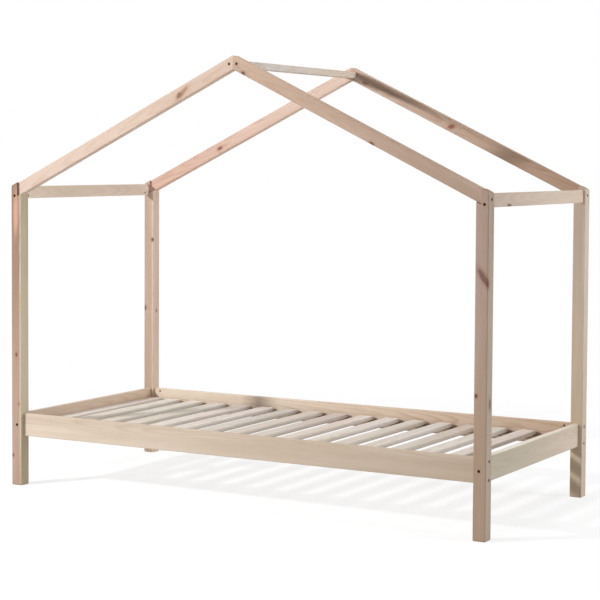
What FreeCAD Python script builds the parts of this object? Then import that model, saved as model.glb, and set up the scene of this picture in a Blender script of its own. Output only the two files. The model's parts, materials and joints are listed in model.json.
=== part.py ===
import FreeCAD, Part
import math
import os
import re
from itertools import product

import Sketcher

# House frame bed, in millimetres. X runs along the bed, Y across it, Z up, and the origin
# lies on the floor under the middle of the bed. The two gables stand over the long sides.

# ---------------------------------------------------------------- driving dimensions

SIZES = (
    ("mattress_long", 2000, "length of the mattress that the bed takes"),
    ("mattress_wide", 900, "width of the mattress"),
    ("mattress_gap", 5, "free space between the mattress and each post"),
    ("post_side", 50, "side of the square posts"),
    ("post_round", 4, "rounding of the posts' long edges"),
    ("foot_bevel", 3, "bevel round the posts' foot"),
    ("shoulder_round", 15, "rounding of the posts' outer top corner"),
    ("shoulder_height", 1230, "roof line at the posts' outer face"),
    ("peak_height", 1737, "roof line at the peak, before its flat"),
    ("peak_flat", 7, "half width of the flat on the peak"),
    ("rafter_deep", 50, "depth of a rafter, square to its slope"),
    ("rafter_thick", 32, "thickness of a rafter"),
    ("rafter_seat", 20, "how far a rafter reaches over its post"),
    ("rafter_round", 3, "rounding of the rafters' long edges"),
    ("ridge_wide", 50, "width of the ridge bar"),
    ("ridge_high", 26, "height of the ridge bar"),
    ("ridge_drop", 21.5, "peak down to the top of the ridge bar"),
    ("ridge_bolt_side", 16.5, "ridge bolt's distance from the peak's seam"),
    ("eave_thick", 16, "thickness of an eave bar"),
    ("eave_high", 50, "height of an eave bar"),
    ("eave_inset", 9, "post's outer face to the eave bar's outer face"),
    ("eave_drop", 1.5, "shoulder down to the top of the eave bar"),
    ("eave_bolt_rise", 11.5, "eave bar's lower edge up to its bolt"),
    ("eave_dowel_rise", 38.5, "eave bar's lower edge up to its dowel"),
    ("board_thick", 21, "thickness of the side rails and end boards"),
    ("board_high", 92, "height of the side rails and end boards"),
    ("board_rise", 204, "floor up to the boards' lower edge"),
    ("board_inset", 17, "post's outer face to the boards' outer face"),
    ("board_bevel", 2, "bevel along the edges of boards, bars and ledges"),
    ("board_bolt_edge", 12.5, "board's edge to a side rail's bolt"),
    ("board_dowel_reach", 25, "end board's middle to each of its dowels"),
    ("ledge_side", 28, "side of the square slat ledges"),
    ("ledge_end_gap", 5, "free space between a ledge and each post"),
    ("slat_wide", 65, "width of a slat"),
    ("slat_thick", 17, "thickness of a slat"),
    ("slat_round", 5, "rounding of the slats' long edges"),
    ("slat_sink", 40, "boards' upper edge down to the top of the slats"),
    ("slat_gap", 2, "free space round a slat, at its ends and beside a board"),
    ("slat_first_pitch", 95, "first slat to second, centre to centre"),
    ("slat_last_gap", 34.5, "last slat's edge to the right end board"),
    ("slat_count", 17, "number of slats"),
    ("bolt_wide", 6, "diameter of a bolt's shank"),
    ("bolt_play", 0.3, "free space round a bolt's shank"),
    ("bolt_head_wide", 10, "diameter of a bolt's head"),
    ("bolt_head_high", 6, "height of a bolt's head"),
    ("bolt_socket", 5, "hexagon socket across its flats"),
    ("bolt_socket_deep", 3, "depth of the hexagon socket"),
    ("bore_wide", 12, "diameter of a bolt's counterbore"),
    ("bore_deep", 8, "depth of a bolt's counterbore"),
    ("bolt_past", 8, "how far a bolt reaches past the middle of its nut"),
    ("nut_wide", 10, "diameter of a barrel nut"),
    ("nut_long", 12, "length of a barrel nut"),
    ("thread_play", 0.05, "free space between a bolt and its thread"),
    ("nut_setback", 30, "board's end to the middle of a barrel nut"),
    ("ridge_nut_setback", 28, "ridge bar's end to the middle of a barrel nut"),
    ("insert_wide", 10, "diameter of a rafter's threaded insert"),
    ("insert_long", 13, "length of a rafter's threaded insert"),
    ("insert_past", 5, "how far a rafter's bolt reaches past its insert"),
    ("rafter_bolt_drop", 23, "shoulder down to a rafter's bolt"),
    ("dowel_wide", 8, "diameter of a dowel"),
    ("dowel_half", 18, "how far a dowel reaches into each piece"),
    ("hole_spare", 1, "free depth behind a dowel or a bolt's end"),
)

doc = FreeCAD.newDocument("HouseFrameBed")
sheet = doc.addObject("Spreadsheet::Sheet", "Sizes")
for row, (alias, amount, meaning) in enumerate(SIZES, start=1):
    sheet.set(f"A{row}", str(amount))
    sheet.setAlias(f"A{row}", alias)
    sheet.set(f"B{row}", meaning)
doc.recompute()

# ---------------------------------------------------------------- places worked out from them

# Each place is a formula over the sheet's aliases and the places above it.
PLACES = (
    ("post_half", "post_side / 2"),
    ("clear_x", "mattress_long / 2 + mattress_gap"),
    ("clear_y", "mattress_wide / 2 + mattress_gap"),
    ("post_x", "clear_x + post_half"),
    ("post_y", "clear_y + post_half"),
    ("outer_x", "clear_x + post_side"),
    ("outer_y", "clear_y + post_side"),
    ("slope", "(peak_height - shoulder_height) / outer_x"),
    ("slope_long", "sqrt(1 + slope * slope)"),
    ("rafter_drop", "rafter_deep * slope_long"),
    ("shoulder_tangent", "shoulder_round * (slope_long - slope)"),
    ("rafter_foot_x", "clear_x + rafter_seat"),
    ("rafter_inner_y", "post_y - rafter_thick / 2"),
    ("rafter_outer_y", "post_y + rafter_thick / 2"),
    ("rafter_bolt_z", "shoulder_height - rafter_bolt_drop"),
    ("ridge_z", "peak_height - ridge_drop - ridge_high / 2"),
    ("eave_x", "outer_x - eave_inset - eave_thick / 2"),
    ("eave_rise", "shoulder_height - eave_drop - eave_high"),
    ("eave_bolt_z", "eave_rise + eave_bolt_rise"),
    ("eave_dowel_z", "eave_rise + eave_dowel_rise"),
    ("board_x", "outer_x - board_inset - board_thick / 2"),
    ("board_y", "outer_y - board_inset - board_thick / 2"),
    ("board_inner_x", "board_x - board_thick / 2"),
    ("board_inner_y", "board_y - board_thick / 2"),
    ("board_top", "board_rise + board_high"),
    ("board_z", "board_rise + board_high / 2"),
    ("rail_low_z", "board_rise + board_bolt_edge"),
    ("rail_high_z", "board_top - board_bolt_edge"),
    ("dowel_low_z", "board_z - board_dowel_reach"),
    ("dowel_high_z", "board_z + board_dowel_reach"),
    ("slat_top", "board_top - slat_sink"),
    ("slat_rise", "slat_top - slat_thick"),
    ("slat_half", "clear_y - slat_gap"),
    ("slat_first_x", "slat_gap + slat_wide / 2 - board_inner_x"),
    ("slat_second_x", "slat_first_x + slat_first_pitch"),
    ("slat_last_x", "board_inner_x - slat_last_gap - slat_wide / 2"),
    ("slat_pitch", "(slat_last_x - slat_second_x) / (slat_count - 2)"),
    ("ledge_half", "clear_x - ledge_end_gap"),
    ("ledge_y", "board_inner_y - ledge_side / 2"),
    ("ledge_z", "slat_rise - ledge_side / 2"),
    ("seat_x", "outer_x - bore_deep"),
    ("seat_y", "outer_y - bore_deep"),
    ("ridge_seat_y", "rafter_outer_y - bore_deep"),
    ("rail_nut_x", "clear_x - nut_setback"),
    ("board_nut_y", "clear_y - nut_setback"),
    ("ridge_nut_y", "rafter_inner_y - ridge_nut_setback"),
    ("long_bolt", "seat_x - rail_nut_x + bolt_past"),
    ("ridge_bolt", "ridge_seat_y - ridge_nut_y + bolt_past"),
    ("rafter_bolt", "seat_x - rafter_foot_x + insert_long + insert_past"),
    ("dowel_y", "clear_y - dowel_half"),
)

places = doc.addObject("App::VarSet", "Places")
ALIASES = {alias: f"Sizes.{alias}" for alias, _, _ in SIZES}


def formula(text):
    """Turn a formula over plain names into one over the sheet and the places."""
    return re.sub(r"[a-z_]+", lambda word: ALIASES.get(word.group(), word.group()), text)


def value(text):
    """Return the present value of a formula over plain names."""
    return float(sheet.evalExpression(formula(text)))


for name, text in PLACES:
    places.addProperty("App::PropertyFloat", name, "Places")
    places.setExpression(name, formula(text))
    ALIASES[name] = f"Places.{name}"
doc.recompute()

# ---------------------------------------------------------------- ways of making a piece

X, Y, Z = FreeCAD.Vector(1, 0, 0), FreeCAD.Vector(0, 1, 0), FreeCAD.Vector(0, 0, 1)
SIGNS = (-1, 1)
CORNERS = tuple(product(SIGNS, SIGNS))
ROUND = ("PartDesign::Fillet", "Radius")
BEVEL = ("PartDesign::Chamfer", "Size")
nodes = []


def new_body(label, x="0", y="0", z="0"):
    """Start a piece whose own origin stands at x, y, z."""
    body = doc.addObject("PartDesign::Body", label)
    body.Label = label
    for axis, text in zip("xyz", (x, y, z)):
        body.setExpression(f"Placement.Base.{axis}", formula(text))
    return body


def new_sketch(body, name, plane, offset="0"):
    """Lay a sketch on one of the piece's own planes, moved along that plane's normal."""
    sketch = body.newObject("Sketcher::SketchObject", f"{body.Name}_{name}")
    support = next(item for item in body.Origin.OriginFeatures if item.Role == plane)
    sketch.AttachmentSupport = [(support, "")]
    sketch.MapMode = "FlatFace"
    sketch.setExpression("AttachmentOffset.Base.z", formula(offset))
    return sketch


def hold_point(sketch, geometry, point, across, up):
    """Tie one point of a sketch to two formulas."""
    for kind, text in (("DistanceX", across), ("DistanceY", up)):
        index = sketch.addConstraint(Sketcher.Constraint(kind, geometry, point, value(text)))
        sketch.setExpression(f"Constraints[{index}]", formula(text))


def draw_path(sketch, corners):
    """Draw straight lines through corners that are each tied to two formulas."""
    spots = [FreeCAD.Vector(value(across), value(up), 0) for across, up in corners]
    lines = [sketch.addGeometry(Part.LineSegment(start, end), False)
             for start, end in zip(spots, spots[1:])]
    for line, corner in zip(lines, corners):
        hold_point(sketch, line, 1, *corner)
    for line, following in zip(lines, lines[1:]):
        sketch.addConstraint(Sketcher.Constraint("Coincident", line, 2, following, 1))
    return lines


def draw_outline(sketch, corners):
    """Draw a closed outline of straight lines."""
    lines = draw_path(sketch, (*corners, corners[0]))
    sketch.addConstraint(Sketcher.Constraint("Coincident", lines[-1], 2, lines[0], 1))


def draw_rectangle(sketch, wide, high):
    """Draw a rectangle about the sketch's origin."""
    left, right = f"-({wide}) / 2", f"({wide}) / 2"
    low, top = f"-({high}) / 2", f"({high}) / 2"
    draw_outline(sketch, ((left, low), (right, low), (right, top), (left, top)))


def pad_both_ways(body, sketch, length):
    """Pad an outline by the same length on both sides of its plane."""
    pad = body.newObject("PartDesign::Pad", f"{body.Name}_stock")
    pad.Profile = sketch
    pad.SideType = "Symmetric"
    pad.setExpression("Length", formula(length))
    sketch.Visibility = False
    doc.recompute()


def soften_edges(body, kind, chosen, amount):
    """Round or bevel by a named amount those edges that the given test picks."""
    feature_type, size_name = kind
    base = body.Tip
    picked = [f"Edge{number}" for number, edge in enumerate(base.Shape.Edges, start=1) if chosen(edge)]
    feature = body.newObject(feature_type, f"{body.Name}_{amount}")
    feature.Base = (base, picked)
    feature.setExpression(size_name, formula(amount))
    doc.recompute()


def runs_along(edge, direction):
    """Tell whether an edge runs along a direction."""
    return abs(edge.tangentAt(edge.FirstParameter).dot(direction)) > 0.999


def mirror(source, label, normal):
    """Make the piece on the opposite side of the bed's middle plane."""
    twin = doc.addObject("Part::Mirroring", label)
    twin.Label = label
    twin.Source = source
    twin.Normal = normal
    nodes.append(twin)
    return twin


def signed(sign, text):
    """Put a formula on the negative or the positive side."""
    return f"{sign} * ({text})"


# ---------------------------------------------------------------- fasteners and their holes

# Each fastener, and the hole that is drilled for it, is made once about its own origin with
# its head, mouth or open side towards +Z. Round solids have flat sides, and fewer of them
# where nothing shows, because they are many.
SHOWN_SIDES = 12
HIDDEN_SIDES = 8
SOCKET_SIDES = 6


def make_rod(name, diameter, low, high, sides=HIDDEN_SIDES):
    """Make a rod about Z between two heights."""
    rod = doc.addObject("Part::Prism", name)
    rod.Polygon = sides
    rod.setExpression("Circumradius", formula(f"({diameter}) / 2"))
    rod.setExpression("Height", formula(f"({high}) - ({low})"))
    rod.setExpression("Placement.Base.z", formula(low))
    return rod


def join(name, solids):
    """Fuse solids into one."""
    fusion = doc.addObject("Part::MultiFuse", name)
    fusion.Shapes = solids
    return fusion


def wrap(name, solid):
    """Hold a solid at its own place, so that a copy of it can be placed."""
    compound = doc.addObject("Part::Compound", name)
    compound.Links = [solid]
    return compound


def remove(name, base, tool):
    """Cut one solid from another."""
    rest = doc.addObject("Part::Cut", name)
    rest.Base = base
    rest.Tool = tool
    return rest


def make_bolt(name, length):
    """Make a socket bolt: its head stands on its origin and its shank hangs below it."""
    head = make_rod(f"{name}_head", "bolt_head_wide", "0", "bolt_head_high", SHOWN_SIDES)
    shank = make_rod(f"{name}_shank", "bolt_wide", f"-{length}", "0")
    socket = make_rod(f"{name}_socket", "2 * bolt_socket / sqrt(3)",
                      "bolt_head_high - bolt_socket_deep", "bolt_head_high", SOCKET_SIDES)
    return remove(name, join(f"{name}_blank", [head, shank]), socket)


def make_bolt_hole(name, length):
    """Make the counterbored hole for a bolt of a given length, past the wood's face."""
    bore = make_rod(f"{name}_bore", "bore_wide", "0", "2 * bore_deep", SHOWN_SIDES)
    shaft = make_rod(f"{name}_shaft", "bolt_wide + 2 * bolt_play", f"-{length} - hole_spare", "0")
    return join(name, [bore, shaft])


def make_nut(name, high_end="nut_long / 2"):
    """Make a round bar about Z, centred on its origin unless it reaches to high_end."""
    return make_rod(name, "nut_wide", "-nut_long / 2", high_end)


def make_barrel_nut():
    """Make a barrel nut: a short round bar about Z with its thread along X."""
    thread = make_rod("barrel_thread", "bolt_wide + 2 * thread_play", "0", "2 * nut_wide")
    thread.Placement.Rotation = FreeCAD.Rotation(Z, X)
    thread.setExpression("Placement.Base.x", formula("-nut_wide"))
    return remove("barrel_nut", make_nut("barrel"), thread)


def make_insert():
    """Make a threaded insert: a sleeve whose mouth lies at its origin."""
    sleeve = make_rod("sleeve", "insert_wide", "-insert_long", "0")
    thread = make_rod("sleeve_thread", "bolt_wide + 2 * thread_play", "-insert_long", "0")
    return remove("insert", sleeve, thread)


def place(name, source, rotation, spot):
    """Place a copy of a solid, turned and at three formulas."""
    copy = doc.addObject("App::Link", name)
    copy.LinkedObject = source
    copy.Placement = FreeCAD.Placement(FreeCAD.Vector(), rotation)
    for axis, text in zip("xyz", spot):
        copy.setExpression(f"Placement.Base.{axis}", formula(text))
    return copy


def facing(direction):
    """Turn a fastener's own Z to a direction."""
    return FreeCAD.Rotation(Z, direction)


long_bolt = make_bolt("bolt_for_boards", "long_bolt")
rafter_bolt = make_bolt("bolt_for_rafter", "rafter_bolt")
ridge_bolt = make_bolt("bolt_for_ridge", "ridge_bolt")
barrel_nut = make_barrel_nut()
rafter_insert = make_insert()
dowel = wrap("dowel", make_rod("dowel_rod", "dowel_wide", "-dowel_half", "dowel_half"))

long_bolt_hole = make_bolt_hole("hole_for_boards", "long_bolt")
rafter_bolt_hole = make_bolt_hole("hole_for_rafter", "rafter_bolt")
ridge_bolt_hole = make_bolt_hole("hole_for_ridge", "ridge_bolt")
board_nut_hole = wrap("hole_for_board_nut", make_nut("board_nut_way", "board_thick"))
eave_nut_hole = wrap("hole_for_eave_nut", make_nut("eave_nut_way", "eave_thick"))
ridge_nut_hole = wrap("hole_for_ridge_nut", make_nut("ridge_nut_way", "ridge_high"))
insert_hole = wrap("hole_for_insert", make_rod("insert_way", "insert_wide", "-insert_long", "nut_wide"))
dowel_hole = wrap("hole_for_dowel", make_rod("dowel_way", "dowel_wide", "-dowel_half - hole_spare",
                                             "dowel_half + hole_spare"))

# Each function below gives the turns and places of one kind of fastener at one corner of the
# bed, whose signs along X and Y are sx and sy. A barrel nut's hole opens into the bed, or, in
# the ridge bar, downwards.


def rail_bolt_spots(sx, sy):
    return [(facing(X * sx), (signed(sx, "seat_x"), signed(sy, "board_y"), height))
            for height in ("rail_low_z", "rail_high_z")]


def rail_nut_spots(sx, sy):
    return [(FreeCAD.Rotation(X, 90 * sy), (signed(sx, "rail_nut_x"), signed(sy, "board_y"), height))
            for height in ("rail_low_z", "rail_high_z")]


def end_board_bolt_spots(sx, sy):
    return [(facing(Y * sy), (signed(sx, "board_x"), signed(sy, "seat_y"), "board_z"))]


def end_board_nut_spots(sx, sy):
    return [(nut_across(sx), (signed(sx, "board_x"), signed(sy, "board_nut_y"), "board_z"))]


def end_board_dowel_spots(sx, sy):
    return [(facing(Y), (signed(sx, "board_x"), signed(sy, "clear_y"), height))
            for height in ("dowel_low_z", "dowel_high_z")]


def eave_bolt_spots(sx, sy):
    return [(facing(Y * sy), (signed(sx, "eave_x"), signed(sy, "seat_y"), "eave_bolt_z"))]


def eave_nut_spots(sx, sy):
    return [(nut_across(sx), (signed(sx, "eave_x"), signed(sy, "board_nut_y"), "eave_bolt_z"))]


def eave_dowel_spots(sx, sy):
    return [(facing(Y), (signed(sx, "eave_x"), signed(sy, "clear_y"), "eave_dowel_z"))]


def rafter_bolt_spots(sx, sy):
    return [(facing(X * sx), (signed(sx, "seat_x"), signed(sy, "post_y"), "rafter_bolt_z"))]


def rafter_insert_spots(sx, sy):
    return [(facing(X * sx), (signed(sx, "rafter_foot_x"), signed(sy, "post_y"), "rafter_bolt_z"))]


def ridge_bolt_spots(sx, sy):
    return [(facing(Y * sy), (signed(sx, "ridge_bolt_side"), signed(sy, "ridge_seat_y"), "ridge_z"))]


def ridge_nut_spots(sx, sy):
    turn = FreeCAD.Rotation(Y, X, Z * -1, "ZXY")
    return [(turn, (signed(sx, "ridge_bolt_side"), signed(sy, "ridge_nut_y"), "ridge_z"))]


def nut_across(sx):
    """Turn a barrel nut for a bolt along Y, with its hole opening from X towards the bed."""
    return FreeCAD.Rotation(Y, Z * -sx, X * -sx, "ZXY")


def place_all(name, source, spots, corners):
    """Place one kind of fastener or hole at some corners of the bed."""
    turns_and_spots = [item for corner in corners for item in spots(*corner)]
    return [place(f"{name}_{number}", source, rotation, spot)
            for number, (rotation, spot) in enumerate(turns_and_spots, start=1)]


def group(label, source, spots):
    """Gather the fasteners of one kind, at all four corners, as one sub-part."""
    compound = doc.addObject("Part::Compound", label)
    compound.Label = label
    compound.Links = place_all(label, source, spots, CORNERS)
    nodes.append(compound)


def drill(label, stock, corners, *holes):
    """Drill a piece; each kind of hole is its solid and the function that gives its places."""
    tools = []
    for number, (hole, spots) in enumerate(holes, start=1):
        tools += place_all(f"{label}_hole_{number}", hole, spots, corners)
    piece = remove(label, stock, join(f"{label}_holes", tools))
    piece.Label = label
    doc.recompute()
    if not piece.Shape.Volume < stock.Shape.Volume:
        raise RuntimeError(f"{label}: its holes remove no wood")
    nodes.append(piece)
    return piece


# ---------------------------------------------------------------- posts

# A post's own origin is the middle of its foot, and its X and Y point into the bed. Its top is
# sawn along the roof line from edge-rounded stock, and the notch in it seats a rafter's foot.


def cut_post_top(stock):
    """Saw the top of a post: its round shoulder, the roof line and the rafter's notch."""
    wall = "post_half - rafter_seat"
    wall_top = "shoulder_height + slope * (post_side - rafter_seat)"
    over = "peak_height"
    beside = "post_side"
    low = ("-post_half", "shoulder_height - shoulder_tangent")
    high = ("-post_half + shoulder_tangent / slope_long",
            "shoulder_height + shoulder_tangent * slope / slope_long")
    centre = FreeCAD.Vector(value("shoulder_round - post_half"), value(low[1]), 0)
    top = new_sketch(stock, "top", "XZ_Plane")
    draw_path(top, (
        high,
        (wall, wall_top),
        (wall, f"{wall_top} - rafter_drop"),
        ("post_half", "shoulder_height + slope * post_side - rafter_drop"),
        (beside, "shoulder_height + slope * post_side - rafter_drop"),
        (beside, over),
        (f"-{beside}", over),
        (f"-{beside}", low[1]),
        low,
    ))
    circle = Part.Circle(centre, Z, value("shoulder_round"))
    start = math.pi / 2 + math.atan(value("slope"))
    arc = top.addGeometry(Part.ArcOfCircle(circle, start, math.pi), False)
    hold_point(top, arc, 1, *high)
    hold_point(top, arc, 2, *low)
    radius = top.addConstraint(Sketcher.Constraint("Radius", arc, value("shoulder_round")))
    top.setExpression(f"Constraints[{radius}]", formula("shoulder_round"))
    before = stock.Shape.Volume
    pocket = stock.newObject("PartDesign::Pocket", "post_top")
    pocket.Profile = top
    pocket.SideType = "Symmetric"
    pocket.setExpression("Length", formula("2 * post_side"))
    doc.recompute()
    if not stock.Shape.Volume < before:
        raise RuntimeError("the cut at the post's top removes no wood")


def make_post():
    stock = new_body("post_stock", "-post_x", "-post_y")
    side = new_sketch(stock, "side", "XZ_Plane")
    full_height = "shoulder_height + slope * post_side"
    draw_outline(side, (("-post_half", "0"), ("post_half", "0"),
                        ("post_half", full_height), ("-post_half", full_height)))
    pad_both_ways(stock, side, "post_side")
    soften_edges(stock, ROUND, lambda edge: runs_along(edge, Z), "post_round")
    soften_edges(stock, BEVEL, lambda edge: edge.BoundBox.ZMax < 0.001, "foot_bevel")
    cut_post_top(stock)
    return drill("post_front_left", stock, [(-1, -1)],
                 (long_bolt_hole, rail_bolt_spots), (long_bolt_hole, end_board_bolt_spots),
                 (long_bolt_hole, eave_bolt_spots), (rafter_bolt_hole, rafter_bolt_spots),
                 (dowel_hole, end_board_dowel_spots), (dowel_hole, eave_dowel_spots))


# ---------------------------------------------------------------- rafters

# A rafter's own origin is the sharp peak of the roof line over the middle of its gable.


def make_rafter():
    stock = new_body("rafter_stock", "0", "-post_y", "peak_height")
    foot_top = "-slope * rafter_foot_x"
    side = new_sketch(stock, "side", "XZ_Plane")
    draw_outline(side, (
        ("-rafter_foot_x", f"{foot_top} - rafter_drop"),
        ("0", "-rafter_drop"),
        ("0", "-slope * peak_flat"),
        ("-peak_flat", "-slope * peak_flat"),
        ("-rafter_foot_x", foot_top),
    ))
    pad_both_ways(stock, side, "rafter_thick")
    uphill = FreeCAD.Vector(1, 0, value("slope")).normalize()
    soften_edges(stock, ROUND, lambda edge: runs_along(edge, uphill), "rafter_round")
    return drill("rafter_front_left", stock, [(-1, -1)],
                 (rafter_bolt_hole, rafter_bolt_spots), (insert_hole, rafter_insert_spots),
                 (ridge_bolt_hole, ridge_bolt_spots))


# ---------------------------------------------------------------- bars and boards

# Each lies level, and its own origin is the middle of its length.


def make_level_stock(label, plane, away, z, length, wide, high, softening):
    """Make a level piece with softened long edges, at a distance from the bed's middle plane.

    The piece runs along X where its section lies in the YZ plane, and otherwise along Y.
    """
    along, across = (X, "y") if plane == "YZ_Plane" else (Y, "x")
    stock = new_body(label, z=z, **{across: away})
    section = new_sketch(stock, "section", plane)
    draw_rectangle(section, wide, high)
    pad_both_ways(stock, section, length)
    kind, amount = softening
    soften_edges(stock, kind, lambda edge: runs_along(edge, along), amount)
    return stock


BEVELLED = (BEVEL, "board_bevel")
ROUNDED_SLAT = (ROUND, "slat_round")


def make_ridge_bar():
    stock = make_level_stock("ridge_bar_stock", "XZ_Plane", "0", "ridge_z", "2 * rafter_inner_y",
                             "ridge_wide", "ridge_high", BEVELLED)
    return drill("ridge_bar", stock, CORNERS,
                 (ridge_bolt_hole, ridge_bolt_spots), (ridge_nut_hole, ridge_nut_spots))


def make_eave_bar():
    stock = make_level_stock("eave_bar_stock", "XZ_Plane", "-eave_x", "eave_rise + eave_high / 2",
                             "2 * clear_y", "eave_thick", "eave_high", BEVELLED)
    return drill("eave_bar_left", stock, [(-1, -1), (-1, 1)],
                 (long_bolt_hole, eave_bolt_spots), (eave_nut_hole, eave_nut_spots),
                 (dowel_hole, eave_dowel_spots))


def make_end_board():
    stock = make_level_stock("end_board_stock", "XZ_Plane", "-board_x", "board_z", "2 * clear_y",
                             "board_thick", "board_high", BEVELLED)
    return drill("end_board_left", stock, [(-1, -1), (-1, 1)],
                 (long_bolt_hole, end_board_bolt_spots), (board_nut_hole, end_board_nut_spots),
                 (dowel_hole, end_board_dowel_spots))


def make_side_rail():
    stock = make_level_stock("side_rail_stock", "YZ_Plane", "-board_y", "board_z", "2 * clear_x",
                             "board_thick", "board_high", BEVELLED)
    return drill("side_rail_front", stock, [(-1, -1), (1, -1)],
                 (long_bolt_hole, rail_bolt_spots), (board_nut_hole, rail_nut_spots))


# ---------------------------------------------------------------- slats and what carries them


def make_slat_ledge():
    ledge = make_level_stock("slat_ledge_front", "YZ_Plane", "-ledge_y", "ledge_z", "2 * ledge_half",
                             "ledge_side", "ledge_side", BEVELLED)
    nodes.append(ledge)
    return ledge


def make_slat(number, line):
    slat = make_level_stock(f"slat_{number:02d}", "XZ_Plane", line, "slat_rise + slat_thick / 2",
                            "2 * slat_half", "slat_wide", "slat_thick", ROUNDED_SLAT)
    nodes.append(slat)


# ---------------------------------------------------------------- the bed

post = make_post()
mirror(post, "post_front_right", X)
mirror(mirror(post, "post_back_left", Y), "post_back_right", X)
rafter = make_rafter()
mirror(rafter, "rafter_front_right", X)
mirror(mirror(rafter, "rafter_back_left", Y), "rafter_back_right", X)
make_ridge_bar()
mirror(make_eave_bar(), "eave_bar_right", X)
mirror(make_end_board(), "end_board_right", X)
mirror(make_side_rail(), "side_rail_back", Y)
mirror(make_slat_ledge(), "slat_ledge_back", Y)

# The first slat lies beside the left end board, and the others share the rest of the bed evenly.
slat_lines = ["slat_first_x"]
slat_lines += [f"slat_second_x + {number} * slat_pitch" for number in range(int(value("slat_count")) - 1)]
for slat_number, slat_line in enumerate(slat_lines, start=1):
    make_slat(slat_number, slat_line)

group("rail_bolts", long_bolt, rail_bolt_spots)
group("rail_nuts", barrel_nut, rail_nut_spots)
group("end_board_bolts", long_bolt, end_board_bolt_spots)
group("end_board_nuts", barrel_nut, end_board_nut_spots)
group("end_board_dowels", dowel, end_board_dowel_spots)
group("eave_bolts", long_bolt, eave_bolt_spots)
group("eave_nuts", barrel_nut, eave_nut_spots)
group("eave_dowels", dowel, eave_dowel_spots)
group("rafter_bolts", rafter_bolt, rafter_bolt_spots)
group("rafter_inserts", rafter_insert, rafter_insert_spots)
group("ridge_bolts", ridge_bolt, ridge_bolt_spots)
group("ridge_nuts", barrel_nut, ridge_nut_spots)

# ---------------------------------------------------------------- check and write

doc.recompute()
for item in doc.Objects:
    if {"Invalid", "Error"} & set(item.State):
        raise RuntimeError(f"{item.Name} failed: {item.State}")
os.makedirs("parts", exist_ok=True)
for node in nodes:
    if node.Shape.isNull() or not node.Shape.isValid():
        raise RuntimeError(f"{node.Label} has no valid shape")
for node in nodes:
    node.Shape.exportStep(f"parts/{node.Label}.step")
print(f"{len(nodes)} sub-parts written")
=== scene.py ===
"""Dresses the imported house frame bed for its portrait: pine, fasteners, light and camera."""

import json
import logging
import math
import random
from collections.abc import Sequence
from dataclasses import dataclass, field
from enum import Enum

import bmesh
import bpy
from mathutils import Euler, Matrix, Vector

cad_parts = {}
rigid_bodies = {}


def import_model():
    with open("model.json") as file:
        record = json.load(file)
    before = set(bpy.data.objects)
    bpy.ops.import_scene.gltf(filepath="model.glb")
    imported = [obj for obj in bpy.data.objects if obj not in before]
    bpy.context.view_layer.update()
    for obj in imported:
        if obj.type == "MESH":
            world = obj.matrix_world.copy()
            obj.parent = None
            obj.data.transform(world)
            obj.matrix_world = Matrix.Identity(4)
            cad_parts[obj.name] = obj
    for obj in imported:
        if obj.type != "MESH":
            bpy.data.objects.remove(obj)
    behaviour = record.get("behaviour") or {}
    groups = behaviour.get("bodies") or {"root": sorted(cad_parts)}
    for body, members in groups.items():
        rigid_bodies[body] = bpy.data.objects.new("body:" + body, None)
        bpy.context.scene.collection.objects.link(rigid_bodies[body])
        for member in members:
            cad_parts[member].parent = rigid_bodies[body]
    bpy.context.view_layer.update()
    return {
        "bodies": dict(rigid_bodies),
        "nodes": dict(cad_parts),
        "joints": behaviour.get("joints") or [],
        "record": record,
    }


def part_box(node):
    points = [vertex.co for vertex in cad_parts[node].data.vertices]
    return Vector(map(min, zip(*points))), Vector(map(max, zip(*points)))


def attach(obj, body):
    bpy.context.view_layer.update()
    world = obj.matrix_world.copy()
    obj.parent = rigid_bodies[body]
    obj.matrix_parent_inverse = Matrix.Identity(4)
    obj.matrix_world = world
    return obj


LOG = logging.getLogger("house_frame_bed")
MM = 0.001
WHITE = (1.0, 1.0, 1.0, 1.0)
VECTOR, NUMBER = "NodeSocketVector", "NodeSocketFloat"

# A board's own X axis runs along its fibres.
FIBRE_AXIS = (1.0, 0.0, 0.0)
ACROSS_FIBRES = (0.0, 1.0, 1.0)

Pair = tuple[float, float]
Triple = tuple[float, float, float]
Colour = tuple[float, float, float, float]
Object, Material, Tree = bpy.types.Object, bpy.types.Material, bpy.types.NodeTree
Node, Socket, Outputs = bpy.types.Node, bpy.types.NodeSocket, bpy.types.NodeOutputs
Operand = Socket | float | Sequence[float]


class Grain(Enum):
    """Which way the fibres of a board run, as the turn of its own axes in degrees."""

    ALONG_BED = (0.0, 0.0, 0.0)
    ACROSS_BED = (0.0, 0.0, 90.0)
    UPRIGHT = (0.0, -90.0, 0.0)
    DOWN_TO_RIGHT = (0.0, 25.0, 0.0)
    DOWN_TO_LEFT = (0.0, 155.0, 0.0)


class Tint(Enum):
    """What each feature of a surface multiplies its linear colour by."""

    CLOUD = (0.86, 0.82, 0.78, 1.0)
    LIFT = (1.11, 1.13, 1.15, 1.0)
    LATE_WOOD = (0.74, 0.60, 0.48, 1.0)
    FIBRE = (0.94, 0.925, 0.905, 1.0)
    RESIN = (0.78, 0.68, 0.58, 1.0)
    KNOT_STAIN = (0.80, 0.66, 0.58, 1.0)
    SAWN_END = (0.86, 0.80, 0.72, 1.0)
    WORN_STEEL = (1.35, 1.35, 1.35, 1.0)


@dataclass(frozen=True)
class Relief:
    """A fine relief: how strongly it shows, and how high it rises in metres."""

    strength: float
    rise: float


@dataclass(frozen=True)
class Speckle:
    """Noise with its number of patches to a metre along each axis.

    The offset is added to the seed that the noise is given, and detail is its number of finer
    layers.
    """

    stretch: Triple
    offset: float = 0.0
    detail: float = 2.0


# ---------- colours and wiring


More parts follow.
